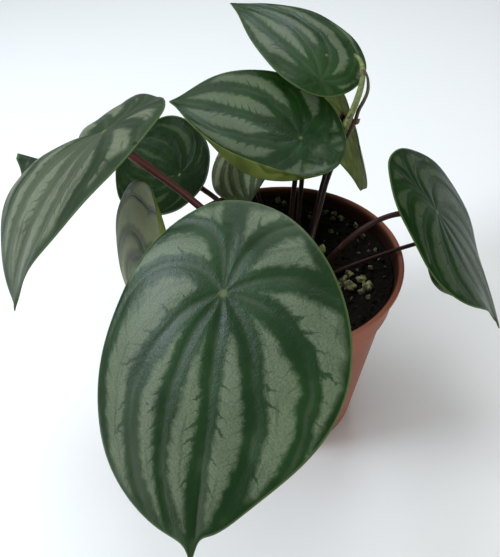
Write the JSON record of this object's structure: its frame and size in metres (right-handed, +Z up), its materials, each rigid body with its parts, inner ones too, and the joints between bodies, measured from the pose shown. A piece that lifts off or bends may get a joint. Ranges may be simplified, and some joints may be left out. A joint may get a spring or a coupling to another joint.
{
  "type": "potted peperomia",
  "caption": "Watermelon peperomia in a round tapered nursery pot: silver-striped shield leaves on red-brown stalks and a forked flower stalk rise from a crown in dark soil.",
  "frame": {"origin": "centre of the pot's flat underside, on the surface it stands on", "axes": "+Z up along the pot's axis; +Y from the large front leaf towards the back leaves, the plant's longest extent; +X to the right seen from the front"},
  "size_m": [0.2035, 0.2373, 0.1704],
  "materials": {
    "pot_plastic": "terracotta-brown moulded plastic, softly satin, paler at the lip",
    "soil": "dark moist peat with pale perlite grains",
    "crown": "brown ringed stem",
    "young_leaf": "yellow-green, satin",
    "stalk": "dark red-brown, smooth and satin",
    "flower_spike": "yellow-green, finely beaded, matt",
    "leaf": "fleshy satin leaf, silver bands between dark green veins, pale yellow-green underside"
  },
  "bodies": {
    "root": {"pot": "pot_plastic", "soil": "soil", "crown": "crown", "young_shoot": "young_leaf", "flower_stalk": "stalk", "flower_spike_long": "flower_spike", "flower_spike_short": "flower_spike", "petiole_front": "stalk", "petiole_left": "stalk", "petiole_centre": "stalk", "petiole_top": "stalk", "petiole_right": "stalk", "petiole_low_right": "stalk", "petiole_mid_left": "stalk", "petiole_low_left": "stalk", "petiole_inner": "stalk", "petiole_back": "stalk", "blade_front": "leaf", "blade_left": "leaf", "blade_centre": "leaf", "blade_top": "leaf", "blade_right": "leaf", "blade_low_right": "leaf", "blade_mid_left": "leaf", "blade_low_left": "leaf", "blade_inner": "leaf", "blade_back": "leaf"}
  },
  "joints": []
}
